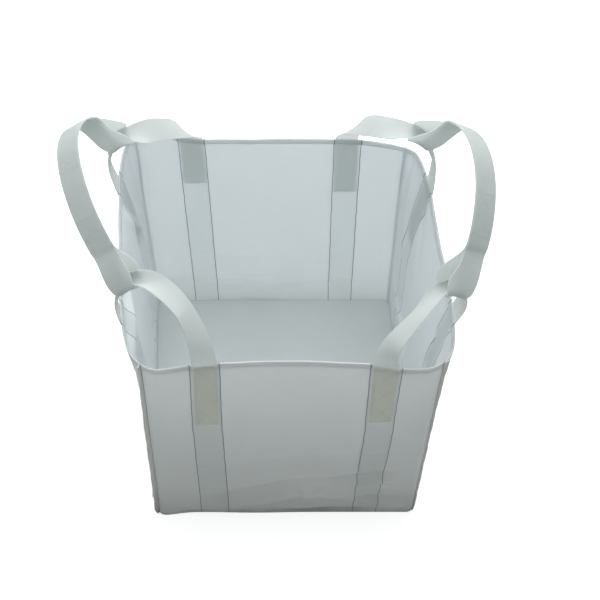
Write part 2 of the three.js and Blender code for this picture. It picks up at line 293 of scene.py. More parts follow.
def ripples(side, along, z):
    """Small uneven waves all over the cloth, with shorter ones near the floor."""
    phase = 1.7 * side
    wide = np.sin(9.0 * along + 5.0 * z + phase) * np.sin(7.0 * z - 4.0 * along + 2 * phase)
    small = np.sin(31 * along - 13 * z + phase) * np.sin(23 * z + 9 * along + phase)
    low = np.exp(-z / 0.18) * np.sin(47 * z + 11 * along + phase) * np.sin(19 * along + phase)
    return 0.0022 * wide + 0.0010 * small + 0.0012 * low


def rumple(side, along, z):
    """How far the cloth stands out from the smooth shape of the bag."""
    stand = np.zeros(np.broadcast(along, z).shape)
    for fold_side, start, end, width, height in FOLDS:
        if fold_side != side:
            continue
        away, share, above = distance_to(along, z, start, end)
        drooping = above if height < 0 else ~above
        reach = np.where(drooping, UNDERSIDE * width, width)
        stand += height * np.exp(-((away / reach) ** 2)) * (0.5 + 0.5 * np.sin(math.pi * share))
    held = (1 - np.minimum(1, np.abs(along) / seam_distance(z)) ** 4) * smoothstep(z, 0, 0.05)
    return (stand + ripples(side, along, z)) * held


def front_shift(along, z):
    """How far the front cloth is pulled right near its right band, and left near its left band."""
    at_right_band = np.exp(-(((along - 0.27) / 0.12) ** 2))
    at_left_band = np.exp(-(((along + 0.27) / 0.12) ** 2))
    pulled = FRONT_PULL * smoothstep(z, 0.02, 0.60) * at_right_band
    slack = FRONT_SLACK * (1 - smoothstep(z, 0.60, HEIGHT)) * at_left_band
    return pulled - slack


def surface(side, along, out, z):
    """A point on the cloth, `along` a side from its middle and `out` from the panel's outer face."""
    along, out, z = np.broadcast_arrays(np.asarray(along, float), out, z)
    if side == FRONT:
        along = along + front_shift(along, z)
    radius = corner_radius(z)
    straight = HALF - radius
    turn = np.maximum(0, np.abs(along) - straight) / radius
    reach = radius + out + rumple(side, along, z)
    x = np.sign(along) * (np.minimum(np.abs(along), straight) + reach * np.sin(turn))
    y = -straight - reach * np.cos(turn)
    quarter = side * math.pi / 2
    cos, sin = round(math.cos(quarter)), round(math.sin(quarter))
    return on_bag(x * cos - y * sin, x * sin + y * cos, z)


# ------------------------------------------------------------------ meshes

SHARP_ANGLE = math.radians(45)


def fine_rows(rows, steps):
    """Rows of points with `steps` pieces between each two, on smooth curves through all of them."""
    rows = np.asarray(rows, float)
    before = np.concatenate([2 * rows[:1] - rows[1:2], rows[:-1]])
    after = np.concatenate([rows[1:], 2 * rows[-1:] - rows[-2:-1]])
    slopes = (after - before) / 2
    fine = []
    for i in range(len(rows) - 1):
        for step in range(steps):
            t = step / steps
            fine.append(
                (2 * t**3 - 3 * t**2 + 1) * rows[i]
                + (t**3 - 2 * t**2 + t) * slopes[i]
                + (3 * t**2 - 2 * t**3) * rows[i + 1]
                + (t**3 - t**2) * slopes[i + 1]
            )
    fine.append(rows[-1])
    return np.array(fine)


def grid_normals(grid):
    down = np.gradient(grid, axis=0)
    along = np.gradient(grid, axis=1)
    return normalised(np.cross(along, down))


def grid_faces(rows, columns, flip):
    index = np.arange(rows * columns).reshape(rows, columns)
    a, b = index[:-1, :-1], index[:-1, 1:]
    c, d = index[1:, 1:], index[1:, :-1]
    order = (a, d, c, b) if flip else (a, b, c, d)
    return np.stack(order, axis=-1).reshape(-1, 4)


def new_object(name, vertices, faces, materials, face_slots, places):
    """An object whose faces use the given materials and whose vertices know their place in the cloth."""
    mesh = bpy.data.meshes.new(name)
    mesh.from_pydata(vertices.reshape(-1, 3).tolist(), [], faces.tolist())
    for material in materials:
        mesh.materials.append(material)
    mesh.polygons.foreach_set("material_index", face_slots)
    mesh.shade_smooth()
    mesh.set_sharp_from_angle(angle=SHARP_ANGLE)
    attribute = mesh.attributes.new("place", "FLOAT_VECTOR", "POINT")
    attribute.data.foreach_set("vector", np.asarray(places, np.float32).ravel())
    mesh.update()
    made = bpy.data.objects.new(name, mesh)
    bpy.context.scene.collection.objects.link(made)
    return made


def shell(name, grid, thickness, places, materials, hem_rows=0):
    """A closed sheet round a grid of points of its middle surface.

    `places` holds each grid point's own coordinates in the cloth. The second material, if there is
    one, is on the side that the normals point away from, and the third on the last `hem_rows` rows.
    """
    grid = np.asarray(grid, float)
    rows, columns = grid.shape[:2]
    normals = grid_normals(grid)
    top = grid + normals * thickness / 2
    bottom = grid - normals * thickness / 2
    count = rows * columns
    top_faces = grid_faces(rows, columns, False)
    bottom_faces = grid_faces(rows, columns, True) + count
    index = np.arange(count).reshape(rows, columns)
    border = np.concatenate([index[0, :], index[1:, -1], index[-1, -2::-1], index[-2:0:-1, 0]])
    following = np.roll(border, -1)
    rim = np.stack([border, border + count, following + count, following], axis=-1)
    faces = np.concatenate([top_faces, bottom_faces, rim])
    slots = np.zeros(len(faces), np.int32)
    if len(materials) > 1:
        slots[len(top_faces):len(top_faces) + len(bottom_faces)] = 1
    if hem_rows:
        hem_faces = hem_rows * (columns - 1)
        slots[len(top_faces) - hem_faces:len(top_faces)] = 2
        slots[2 * len(top_faces) - hem_faces:2 * len(top_faces)] = 2
    flat = np.asarray(places, float).reshape(count, -1)
    if flat.shape[1] == 2:
        flat = np.column_stack([flat, np.ones(count)])
    vertices = np.concatenate([top, bottom])
    return new_object(name, vertices, faces, materials, slots, np.tile(flat, (2, 1)))


# A stitch is a small raised lozenge: its rim goes round six points and its ridge joins two.
STITCH_LENGTH = 0.0052
STITCH_WIDTH = 0.0013
STITCH_HEIGHT = 0.0010
STITCH_RIM = ((-1, 0, -0.3), (-0.5, 1, 0), (0.5, 1, 0), (1, 0, -0.3), (0.5, -1, 0), (-0.5, -1, 0))
STITCH_RIDGE = ((-0.5, 0, 1), (0.5, 0, 1))
STITCH_FACES = (
    (0, 1, 6), (1, 2, 7, 6), (2, 3, 7), (3, 4, 7), (4, 5, 6, 7), (5, 0, 6), (0, 5, 4, 3, 2, 1)
)


def stitches(name, centres, runs, normals, material):
    """One mesh of separate sewn stitches."""
    runs = normalised(np.asarray(runs, float))
    normals = normalised(np.asarray(normals, float))
    sides = np.cross(normals, runs)
    vertices, faces = [], []
    for centre, run, side, normal in zip(centres, runs, sides, normals):
        first = len(vertices)
        for x, y, z in STITCH_RIM + STITCH_RIDGE:
            flat = run * x * STITCH_LENGTH / 2 + side * y * STITCH_WIDTH / 2
            vertices.append(centre + flat + normal * z * STITCH_HEIGHT)
        faces.extend(tuple(first + i for i in face) for face in STITCH_FACES)
    mesh = bpy.data.meshes.new(name)
    mesh.from_pydata([list(v) for v in vertices], [], faces)
    mesh.materials.append(material)
    mesh.shade_smooth()
    made = bpy.data.objects.new(name, mesh)
    bpy.context.scene.collection.objects.link(made)
    return made


# ------------------------------------------------------------------ materials


class Finish:
    """A material that lets some light through, with short names for the nodes that feed it."""

    def __init__(self, name, roughness, sheen, through):
        self.material = bpy.data.materials.new(name)
        self.material.use_nodes = True
        self.tree = self.material.node_tree
        self.shader = self.tree.nodes["Principled BSDF"]
        self.shader.inputs["Roughness"].default_value = roughness
        self.shader.inputs["Specular IOR Level"].default_value = 0.3
        self.shader.inputs["Sheen Weight"].default_value = sheen
        self.shader.inputs["Sheen Roughness"].default_value = 0.5
        self.glow = self.tree.nodes.new("ShaderNodeBsdfTranslucent")
        blend = self.tree.nodes.new("ShaderNodeMixShader")
        blend.inputs[0].default_value = through
        self.tree.links.new(self.shader.outputs[0], blend.inputs[1])
        self.tree.links.new(self.glow.outputs[0], blend.inputs[2])
        self.tree.links.new(blend.outputs[0], self.tree.nodes["Material Output"].inputs["Surface"])

    def node(self, kind, **settings):
        made = self.tree.nodes.new(kind)
        for key, value in settings.items():
            setattr(made, key, value)
        return made

    def join(self, source, target):
        if hasattr(source, "is_output"):
            self.tree.links.new(source, target)
        else:
            target.default_value = source

    def math(self, operation, first, second=0.0, third=0.0):
        made = self.node("ShaderNodeMath", operation=operation)
        for value, socket in zip((first, second, third), made.inputs):
            self.join(value, socket)
        return made.outputs[0]

    def place(self):
        """The cloth's own coordinates: across, along, and how far the corner seam is."""
        attribute = self.node("ShaderNodeAttribute", attribute_name="place")
        split = self.node("ShaderNodeSeparateXYZ")
        self.join(attribute.outputs["Vector"], split.inputs[0])
        return attribute.outputs["Vector"], split.outputs[0], split.outputs[1], split.outputs[2]

    def noise(self, vector, stretch, detail=3.0):
        scaled = self.node("ShaderNodeMapping")
        scaled.inputs["Scale"].default_value = stretch
        self.join(vector, scaled.inputs["Vector"])
        made = self.node("ShaderNodeTexNoise")
        made.inputs["Scale"].default_value = 1.0
        made.inputs["Detail"].default_value = detail
        self.join(scaled.outputs[0], made.inputs["Vector"])
        return made.outputs["Fac"]

    def mix(self, share, first, second):
        made = self.node("ShaderNodeMix", data_type="RGBA")
        self.join(share, made.inputs[0])
        self.join(first, made.inputs[6])
        self.join(second, made.inputs[7])
        return made.outputs[2]

    def band(self, value, middle, half_width, softness):
        """1 where the value is within half_width of the middle, with soft sides."""
        away = self.math("ABSOLUTE", self.math("SUBTRACT", value, middle))
        made = self.node("ShaderNodeMapRange", interpolation_type="SMOOTHSTEP")
        self.join(away, made.inputs["Value"])
        made.inputs["From Min"].default_value = half_width - softness
        made.inputs["From Max"].default_value = half_width + softness
        made.inputs["To Min"].default_value = 1.0
        made.inputs["To Max"].default_value = 0.0
        return made.outputs[0]

    def above(self, value, level, softness):
        made = self.node("ShaderNodeMapRange", interpolation_type="SMOOTHSTEP")
        self.join(value, made.inputs["Value"])
        made.inputs["From Min"].default_value = level - softness
        made.inputs["From Max"].default_value = level + softness
        return made.outputs[0]

    def colour(self, source):
        self.join(source, self.shader.inputs["Base Color"])
        self.join(source, self.glow.inputs["Color"])

    def bump(self, height, distance, strength=0.6):
        made = self.node("ShaderNodeBump")
        made.inputs["Strength"].default_value = strength
        made.inputs["Distance"].default_value = distance
        self.join(height, made.inputs["Height"])
        self.join(made.outputs[0], self.shader.inputs["Normal"])


TAPE_WIDTH = 0.0026


def weave_height(finish, across, along, pitch):
    """Flat tapes going over and under each other."""
    wave_a = finish.math("SINE", finish.math("MULTIPLY", across, math.pi / pitch))
    wave_b = finish.math("SINE", finish.math("MULTIPLY", along, math.pi / pitch))
    return finish.math("MULTIPLY", wave_a, wave_b)


def woven_colour(finish, vector, weave, cloudy, dark, light):
    """The colour of the tapes: streaks along both ways of the weave and soft clouds."""
    streak_a = finish.noise(vector, (380.0, 6.0, 0.0), 2.0)
    streak_b = finish.noise(vector, (6.0, 380.0, 0.0), 2.0)
    tone = finish.math("MULTIPLY_ADD", finish.math("ADD", streak_a, streak_b), 0.45, -0.20)
    tone = finish.math("MULTIPLY_ADD", cloudy, 0.55, tone)
    return finish.mix(finish.math("MULTIPLY_ADD", weave, 0.12, tone), dark, light)


def painted_floor_shade(finish, colour, along, cloudy, floor_shade_strength):
    """Painted shade: the colour darker towards the floor, with a painted shadow strip along the floor."""
    # Painted shade: the colour is mixed towards a darker one near the floor.
    height = finish.math("MULTIPLY_ADD", cloudy, 0.10, finish.math("SUBTRACT", along, 0.05))
    slope = finish.math("MULTIPLY_ADD", height, -0.55 / HEIGHT, 0.55)
    foot = finish.math("SUBTRACT", 1.0, finish.above(height, 0.11, 0.11))
    share = finish.math("MULTIPLY", finish.math("MULTIPLY_ADD", foot, 0.40, slope), floor_shade_strength)
    colour = finish.mix(finish.math("MAXIMUM", share, 0.0), colour, FLOOR_SHADE)
    # Painted shadow: a dark strip along the floor, under the folds that rest on it.
    floor_shadow_strip = finish.math("SUBTRACT", 1.0, finish.above(height, 0.012, 0.012))
    return finish.mix(finish.math("MULTIPLY", floor_shadow_strip, 0.55), colour, FLOOR_SHADOW)


def thin_lines(finish, vector, apart, to_seam, corner_line):
    """1 on the two marker lines either side of the middle, and `corner_line` along the corner seam."""
    wander = finish.math("MULTIPLY_ADD", finish.noise(vector, (0.0, 14.0, 0.0), 2.0), 0.005, -0.0025)
    lined = finish.math("ADD", apart, wander)
    first = finish.band(lined, MARKER_LINES[0], 0.0011, 0.0006)
    second = finish.band(lined, MARKER_LINES[1], 0.0011, 0.0006)
    corner = finish.math("MULTIPLY", finish.band(to_seam, 0.0, 0.0010, 0.0006), corner_line)
    return finish.math("MAXIMUM", finish.math("MAXIMUM", first, second), corner)


def cloth_material(
    name, light, dark, through=0.45, band_shade=0.0, floor_shade_strength=0.0, mouth_shade=0.0, corner_line=0.0
):
    """Woven tape cloth, whose lines and denser bands follow the cloth's own coordinates.

    `band_shade` is the strength of the denser bands. The next two strengths are those of painted shade:
    darker towards the floor with a painted shadow strip along it, and darker towards the mouth.
    """
    finish = Finish(name, 0.62, 0.05, through)
    vector, across, along, to_seam = finish.place()
    cloudy = finish.noise(vector, (5.0, 5.0, 0.0), 4.0)
    weave = weave_height(finish, across, along, TAPE_WIDTH)
    colour = woven_colour(finish, vector, weave, cloudy, dark, light)
    apart = finish.math("ABSOLUTE", across)
    middle = (MARKER_LINES[0] + MARKER_LINES[1]) / 2
    half_band = (MARKER_LINES[1] - MARKER_LINES[0]) / 2
    band = finish.math("MULTIPLY", finish.band(apart, middle, half_band, 0.002), band_shade)
    colour = finish.mix(band, colour, DENSE_BAND)
    # Painted shade: the inside cloth darker towards the mouth.
    if mouth_shade:
        colour = finish.mix(finish.math("MULTIPLY", along, mouth_shade / HEIGHT), colour, MOUTH_SHADE)
    # Painted shade towards the floor, with a painted shadow strip along it.
    if floor_shade_strength:
        colour = painted_floor_shade(finish, colour, along, cloudy, floor_shade_strength)
    lines = thin_lines(finish, vector, apart, to_seam, corner_line)
    finish.colour(finish.mix(finish.math("MULTIPLY", lines, 0.85), colour, MARKER))
    finish.bump(finish.math("MULTIPLY_ADD", weave, 0.5, finish.math("MULTIPLY", cloudy, 2.0)), 0.0004)
    return finish.material


CORD_PITCH = 0.0042
WEFT_PITCH = 0.0024
TWILL_PITCH = 0.0060
HERRINGBONE_WIDTH = 0.0094


def webbing_material(name, light, dark, leg_painted_light):
    """Webbing with cords along it, fine weft across and firm edges. The last colour is painted light for
    the legs, where the webbing lies on the cloth.
    """
    finish = Finish(name, 0.6, 0.05, 0.58)
    vector, across, along, _ = finish.place()
    cords = finish.math("SINE", finish.math("MULTIPLY", across, 2 * math.pi / CORD_PITCH))
    weft = finish.math("SINE", finish.math("MULTIPLY", along, 2 * math.pi / WEFT_PITCH))
    herringbone = finish.math("ADD", along, finish.math("PINGPONG", across, HERRINGBONE_WIDTH))
    twill = finish.math("SINE", finish.math("MULTIPLY", herringbone, 2 * math.pi / TWILL_PITCH))
    cloudy = finish.noise(vector, (14.0, 5.0, 1.0), 4.0)
    streak = finish.noise(vector, (500.0, 5.0, 0.0), 2.0)
    tone = finish.math("MULTIPLY_ADD", cords, 0.10, finish.math("MULTIPLY", cloudy, 0.7))
    tone = finish.math("MULTIPLY_ADD", streak, 0.5, finish.math("MULTIPLY_ADD", twill, 0.08, tone))
    colour = finish.mix(finish.math("SUBTRACT", tone, 0.1), dark, light)
    # Painted light: the legs, lying on the cloth, take a lighter colour.
    on_cloth = finish.math("SUBTRACT", 1.0, finish.above(along, 0.0, 0.008))
    colour = finish.mix(finish.math("MULTIPLY", on_cloth, 0.92), colour, leg_painted_light)
    edge = finish.math("SUBTRACT", 1.0, finish.band(across, 0.0, WEBBING / 2 - 0.003, 0.0015))
    finish.colour(finish.mix(finish.math("MULTIPLY", edge, 0.25), colour, light))
    height = finish.math("MULTIPLY_ADD", twill, 0.6, finish.math("MULTIPLY_ADD", weft, 0.3, cords))
    finish.bump(height, 0.0004)
    return finish.material


def thread_material():
    finish = Finish("thread", 0.55, 0.05, 0.4)
    position = finish.node("ShaderNodeTexCoord").outputs["Object"]
    twist = finish.noise(position, (900.0, 900.0, 900.0), 2.0)
    finish.colour(finish.mix(twist, (0.80, 0.84, 0.84, 1), (0.92, 0.95, 0.95, 1)))
    finish.bump(twist, 0.0002)
    return finish.material


MARKER = (0.14, 0.17, 0.22, 1)
DENSE_BAND = (0.76, 0.79, 0.765, 1)
# Colour of the painted shade towards the floor.
FLOOR_SHADE = (0.575, 0.580, 0.545, 1)
# Colour of the painted shadow along the floor.
FLOOR_SHADOW = (0.30, 0.30, 0.26, 1)
# Colour of the painted shade towards the mouth, inside the bag.
MOUTH_SHADE = (0.76, 0.80, 0.83, 1)
# Painted light and shade: the inside and base are painted as lighter, bluer copies of the outside cloth,
# which is greyer and greener, for the light that comes through the cloth into the bag.
CLOTH_OUT = cloth_material(
    "cloth_outside", (0.92, 0.93, 0.905, 1), (0.84, 0.855, 0.835, 1),
    band_shade=0.7, floor_shade_strength=1.0, corner_line=1.0
)
CLOTH_IN = cloth_material(
    "cloth_inside", (0.925, 0.975, 1.0, 1), (0.865, 0.91, 0.95, 1), band_shade=0.15, mouth_shade=0.6
)
CLOTH_BASE = cloth_material("cloth_base", (0.94, 0.975, 0.99, 1), (0.88, 0.92, 0.94, 1))
CLOTH_HEM = cloth_material("cloth_hem", (0.94, 0.96, 0.96, 1), (0.88, 0.91, 0.91, 1), through=0.7)
# The webbing's last colour is painted light that makes its legs lighter.
WEBBING_FINISH = webbing_material(
    "webbing", (0.85, 0.885, 0.875, 1), (0.75, 0.785, 0.775, 1), (0.90, 0.91, 0.865, 1)
)
STRAP_FINISH = webbing_material(
    "strap_webbing", (0.86, 0.895, 0.885, 1), (0.77, 0.805, 0.795, 1), (0.77, 0.805, 0.795, 1)
)
THREAD = thread_material()

# ------------------------------------------------------------------ panels, base and seams

# Rows of the fold at the mouth and of the hem inside it, and the quarter turn that sets the columns,
# closer together at the corners.
FOLD_ROWS = 6
HEM_ROWS = 5
PANEL_SPREAD = math.pi / 2 * 0.96
STITCH_PITCH = 0.0072



def panel_profile():
    """How high a panel's rows are and how far out: up the wall, over the fold and down the hem."""
    top = HEIGHT - HEM_ROLL - CLOTH / 2
    heights = list(np.linspace(0.0006, top, 150))
    outs = [-CLOTH / 2] * len(heights)
    for angle in np.linspace(0, math.pi, FOLD_ROWS + 1)[1:]:
        heights.append(top + HEM_ROLL * math.sin(angle))
        outs.append(-CLOTH / 2 - HEM_ROLL * (1 - math.cos(angle)))
    for z in np.linspace(top, HEIGHT - HEM_DEPTH, HEM_ROWS + 1)[1:]:
        heights.append(z)
        outs.append(outs[-1])
    return np.array(heights)[:, None], np.array(outs)[:, None]


def panel(side):
    """A panel with its top folded in, as one continuous piece of cloth."""
    turns = np.linspace(-1, 1, 121) * PANEL_SPREAD
    shares = np.sin(turns) / math.sin(PANEL_SPREAD)
    z, out = panel_profile()
    seam = seam_distance(z)
    along = shares[None, :] * seam
    grid = surface(side, along, out, z)
    places = np.stack([along, z + 0 * along, seam - np.abs(along)], axis=-1)
    finishes = [CLOTH_IN, CLOTH_OUT, CLOTH_HEM]
    name = f"{SIDES[side]}_panel"
    hem_rows = FOLD_ROWS // 2 + HEM_ROWS
    made = shell(name, grid[:, ::-1], CLOTH, places[:, ::-1], finishes, hem_rows)
    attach(made, "bag")
    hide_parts(name, f"{SIDES[side]}_mouth_hem")
    hem_sewing(side)


def along_surface(side, along, out, z):
    """Points just off the cloth, with the directions along the side, up it and out of it."""
    here = surface(side, along, out, z)
    step = 0.002
    run = normalised(surface(side, along + step, out, z) - surface(side, along - step, out, z))
    rise = normalised(surface(side, along, out, z + step / 2) - surface(side, along, out, z - step / 2))
    return here, run, rise, np.cross(run, rise)


def hem_sewing(side):
    along = np.arange(-0.425, 0.4251, STITCH_PITCH)
    z = np.full_like(along, HEIGHT - HEM_DEPTH + 0.006)
    outside = along_surface(side, along, 0.0001, z)
    inside = along_surface(side, along, -CLOTH - 2 * HEM_ROLL - 0.0001, z)
    centres = np.concatenate([outside[0], inside[0]])
    runs = np.concatenate([outside[1], inside[1]])
    normals = np.concatenate([outside[3], -inside[3]])
    made = stitches(f"{SIDES[side]}_hem_sewing", centres, runs, normals, THREAD)
    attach(made, "bag")


def base():
    steps = 81
    inset = HALF - CLOTH - 0.0002
    radius = BASE_CORNER_RADIUS - CLOTH - 0.0002
    share = np.linspace(-1, 1, steps)
    u, v = np.meshgrid(share, share)
    x, y = u * inset, v * inset
    over_x = np.maximum(0, np.abs(x) - (inset - radius))
    over_y = np.maximum(0, np.abs(y) - (inset - radius))
    longest = np.maximum(over_x, over_y)
    away = np.hypot(over_x, over_y)
    squeeze = np.where(away > 1e-9, longest / np.maximum(away, 1e-9), 1)
    x = np.sign(x) * (np.minimum(np.abs(x), inset - radius) + over_x * squeeze)
    y = np.sign(y) * (np.minimum(np.abs(y), inset - radius) + over_y * squeeze)
    inner = smoothstep(HALF - np.maximum(np.abs(x), np.abs(y)), 0.01, 0.10)
    rise = 0.0012 + CLOTH / 2
    rise = rise + inner * 0.0030 * (1 + np.sin(9 * x + 5 * y) * np.sin(8 * y - 3 * x))
    rise = rise + inner * 0.0012 * np.sin(37 * x + 11 * y) * np.sin(29 * y)
    grid = on_bag(x, y, rise)
    places = np.stack([x, y], axis=-1)
    made = shell("base_panel", grid[:, ::-1], CLOTH, places[:, ::-1] * 0.4, [CLOTH_OUT, CLOTH_BASE])
    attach(made, "bag")
    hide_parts("base_panel")
    return made


SEAM_FIN = 0.016


def fin_place(side, distance, height):
    """Where a corner's turned-out edges run, along the side before it and out of that side's face.

    The front right ones lie back against the right panel, and the others stand out.
    """
    wave = 0.0009 * np.sin(34 * height + side) + 0.0006 * np.sin(90 * height)
    wave = wave * distance / SEAM_FIN
    if CORNERS[side] == "front_right":
        return seam_distance(height) + distance, 0.0022 + 0.10 * distance + wave
    return seam_distance(height) - 0.0024 + wave, 0.0004 + distance


def corner_seam(side):
    """Two panels' edges turned out together in the corner, with an overlock along them."""
    z = np.linspace(0.002, HEIGHT, 120)[:, None]
    reach = SEAM_FIN * (1 - 0.5 * (1 - smoothstep(z, 0, 0.03)))
    distance = np.linspace(0, 1, 6)[None, :] * (reach - 0.0004)
    along, out = fin_place(side, distance, z)
    grid = surface(side, along, out, z)
    places = np.stack([0.10 + distance, z + 0 * distance], axis=-1)
    name = f"{CORNERS[side]}_corner_seam"
    made = shell(name, grid, 2 * CLOTH, places, [CLOTH_OUT, CLOTH_OUT])
    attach(made, "bag")
    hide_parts(name)
    corner_sewing(side)


def corner_sewing(side):
    centres, runs, normals = [], [], []
    for i, height in enumerate(np.arange(0.030, HEIGHT - 0.006, 0.0060)):
        for distance, slant in ((0.004, 0.0), (0.0125, 0.8 if i % 2 else -0.8)):
            spots = [fin_place(side, distance + step, height) for step in (0.0, 0.001)]
            here, beyond = (surface(side, along, out, height) for along, out in spots)
            above = surface(side, spots[0][0], spots[0][1], height + 0.002)
            stand, rise = normalised(beyond - here), normalised(above - here)
            face = normalised(np.cross(rise, stand))
            for way in (-1, 1):
                centres.append(here + face * way * (CLOTH + 0.0001))
                runs.append(rise + stand * slant)
                normals.append(face * way)
    sewing = stitches(f"{CORNERS[side]}_corner_sewing", centres, runs, normals, THREAD)
    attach(sewing, "bag")


def base_seam(side):
    """The panel's lower edge sewn to the base and turned out on the floor."""
    reach = HALF - 2 * BASE_CORNER_RADIUS
    along = np.linspace(-reach, reach, 110)[:, None]
    out = np.linspace(0.0004, SEAM_FIN, 5)[None, :]
    lift = 0.0004 + 0.0024 + 0.0014 * (1 + np.sin(26 * along + side)) * (out / SEAM_FIN)
    grid = surface(side, along, out, lift)
    places = np.stack([0.10 + out + 0 * along, along + 0 * out], axis=-1)
    name = f"{SIDES[side]}_base_seam"
    made = shell(name, grid, 2 * CLOTH, places, [CLOTH_OUT, CLOTH_OUT])
    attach(made, "bag")
    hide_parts(name)


for side in range(4):
    panel(side)
    corner_seam(side)
base()
base_seam(RIGHT)
base_seam(LEFT)

# ------------------------------------------------------------------ lifting loops

LOOP_CUP_RADIUS = 0.020
LOOP_CUP_SPREAD = 0.17
LOOP_FOOT = HEIGHT + 0.056
EYE_CLEARANCE = 0.007
EYE_LENGTH = 0.150
EYE_TURN = (0.010, 0.105)
SPLIT_GAP = 0.020
BACK_RISE = 0.16
# Rows of a leg, of the arch, and of those that are eased where they meet; each is cut into fine steps.
LEG_MARGIN = 0.002
LEG_ROWS = 12
ARCH_ROWS = 23
EASED_ROWS = 7
ROW_STEPS = 5
SEWING_MARGIN = 0.007

# Each loop has the lengths of its legs on the end panel and on the side panel, how far it has slumped,
# and the share of its length at which the strap's eye holds it.
LOOPS = {
    "front_left": {"end_leg": 0.355, "flank_leg": 0.340, "slump": 0.0, "eye_at": 0.67},
    "front_right": {"end_leg": 0.335, "flank_leg": 0.340, "slump": 1.0, "eye_at": 0.67},
    "back_right": {"end_leg": 0.285, "flank_leg": 0.300, "slump": 0.4, "eye_at": 0.66},
    "back_left": {"end_leg": 0.235, "flank_leg": 0.300, "slump": 1.0, "eye_at": 0.66},
}
for name, loop in LOOPS.items():
    end, flank = name.split("_")
    loop["end"], loop["flank"] = SIDES.index(end), SIDES.index(flank)
    loop["mirror"] = (1 if flank == "left" else -1, 1 if end == "front" else -1)
    loop["hand"] = loop["mirror"][0] * loop["mirror"][1]

# The routes of a tall and of a slumped front left loop above the mouth, from end leg to side leg, and
# the way the webbing's width points along each.
TALL_ROUTE = (
    (-0.256, -0.450, LOOP_FOOT),
    (-0.264, -0.425, 1.085),
    (-0.290, -0.380, 1.140),
    (-0.335, -0.335, 1.178),
    (-0.385, -0.305, 1.192),
    (-0.432, -0.292, 1.180),
    (-0.472, -0.286, 1.142),
    (-0.494, -0.278, 1.090),
    (-0.502, -0.270, LOOP_FOOT),
)
TALL_WAYS = (
    (1, 0.1, 0),
    (0.72, 0.65, -0.2),
    (0.5, 0.84, -0.25),
    (0.42, 0.9, -0.15),
    (0.3, 0.95, -0.1),
    (0.1, 0.99, -0.05),
    (0, 1, 0),
    (0, 1, 0),
    (0, 1, 0),
)
SLUMPED_ROUTE = (
    (-0.264, -0.442, LOOP_FOOT),
    (-0.298, -0.420, 1.068),
    (-0.342, -0.388, 1.102),
    (-0.380, -0.358, 1.128),
    (-0.420, -0.325, 1.146),
    (-0.460, -0.302, 1.150),
    (-0.494, -0.288, 1.128),
    (-0.512, -0.278, 1.085),
    (-0.514, -0.270, LOOP_FOOT),
)
SLUMPED_WAYS = (
    (0.8, 0.5, -0.35),
    (0.5, 0.75, -0.42),
    (0.2, 0.88, -0.42),
    (0, 0.93, -0.38),
    (-0.05, 0.95, -0.3),
    (-0.05, 0.98, -0.2),
    (0, 1, -0.1),
    (0, 1, 0),
    (0, 1, 0),
)


def centripetal(points, share):
    """A point at a share of the spline through the points, each span taking an equal share."""
    points = np.asarray(points, float)
    spans = len(points) - 1
    at = min(max(share, 0.0), 1.0) * spans
    i = min(int(at), spans - 1)
    weight = at - i
    p1, p2 = points[i], points[i + 1]
    p0 = points[i - 1] if i > 0 else 2 * p1 - p2
    p3 = points[i + 2] if i + 2 < len(points) else 2 * p2 - p1
    d0, d1, d2 = (max(np.linalg.norm(b - a) ** 0.5, 1e-4) for a, b in ((p0, p1), (p1, p2), (p2, p3)))
    slope_1 = ((p1 - p0) / d0 - (p2 - p0) / (d0 + d1) + (p2 - p1) / d1) * d1
    slope_2 = ((p2 - p1) / d1 - (p3 - p1) / (d1 + d2) + (p3 - p2) / d2) * d1
    a, b = 2 * p1 - 2 * p2 + slope_1 + slope_2, -3 * p1 + 3 * p2 - 2 * slope_1 - slope_2
    return p1 + slope_1 * weight + b * weight**2 + a * weight**3


def loop_frame(loop, share):
    """The centre, tangent, width direction and outward normal of a loop at a share of its length."""
    mirror_x, mirror_y = loop["mirror"]

    def mirrored(point):
        y = MOUTH_MIDDLE_Y + (point[1] - MOUTH_MIDDLE_Y) * mirror_y
        return skewed([point[0] * mirror_x, y, point[2]])

    point = centripetal(loop["route"], share)
    before = mirrored(centripetal(loop["route"], max(0.0, share - 0.002)))
    after = mirrored(centripetal(loop["route"], min(1.0, share + 0.002)))
    middle = mirrored(point)
    tangent = normalised(after - before)
    way = mirrored(point + centripetal(loop["ways"], share)) - middle
    normal = normalised(np.cross(way, tangent)) * mirror_x * mirror_y
    return middle, tangent, np.cross(normal, tangent), normal


def loop_row(loop, share, widths):
    """A row of points across the loop. The webbing cups where the strap's eye holds it."""
    middle, _, across, normal = loop_frame(loop, share)
    bend = math.exp(-(((share - loop["eye_at"]) / LOOP_CUP_SPREAD) ** 2)) / LOOP_CUP_RADIUS + 1e-6
    angles = (widths * bend)[:, None]
    return middle + across * np.sin(angles) / bend + normal * (1 - np.cos(angles)) / bend


def between(first, second, share):
    return (1 - share) * np.array(first, float) + share * np.array(second, float)


for loop in LOOPS.values():
    loop["route"] = between(TALL_ROUTE, SLUMPED_ROUTE, loop["slump"])
    loop["ways"] = between(TALL_WAYS, SLUMPED_WAYS, loop["slump"])
    samples = np.array([centripetal(loop["route"], share) for share in np.linspace(0, 1, 60)])
    loop["length"] = float(np.linalg.norm(np.diff(samples, axis=0), axis=1).sum())


def row_lengths(grid):
    """How far along its middle column each row of a grid is."""
    middle = grid[:, grid.shape[1] // 2]
    steps = np.linalg.norm(np.diff(middle, axis=0), axis=1)
    return np.concatenate([[0.0], np.cumsum(steps)])


def leg_rows(side, centre, widths, heights):
    out = LEG_GAP + WEBBING_THICKNESS / 2
    return [surface(side, centre + widths, out, z) for z in heights]


